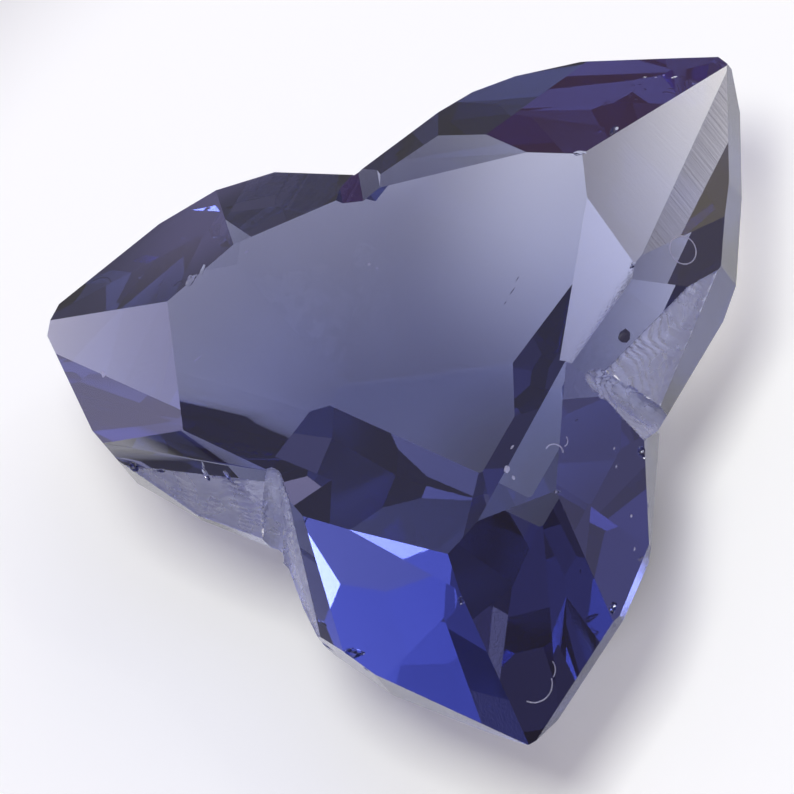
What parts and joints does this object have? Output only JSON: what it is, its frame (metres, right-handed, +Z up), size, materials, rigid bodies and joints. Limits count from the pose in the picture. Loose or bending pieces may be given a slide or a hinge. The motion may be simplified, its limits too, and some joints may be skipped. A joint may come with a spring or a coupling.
{
  "type": "blue sapphire",
  "caption": "Loose transparent gem with a broad flat table, three pointed lobes with cut crown facets, a keel-cut pavilion and a small flat culet.",
  "frame": {"origin": "on the culet, the small flat face that the stone rests on, straight below the point of the girdle plane that the three lobe tips are equally far from", "axes": "+Z up, out of the table; +X from the stone's axis towards the tip of the first lobe, the other two tips being 120 degrees and 240 degrees round from it"},
  "size_m": [0.0113, 0.0119, 0.0047],
  "materials": {
    "polished_sapphire": "polished facets, with a ground finish in the two larger notches and a slightly dull girdle"
  },
  "bodies": {
    "root": {"sapphire": "polished_sapphire"}
  },
  "joints": []
}
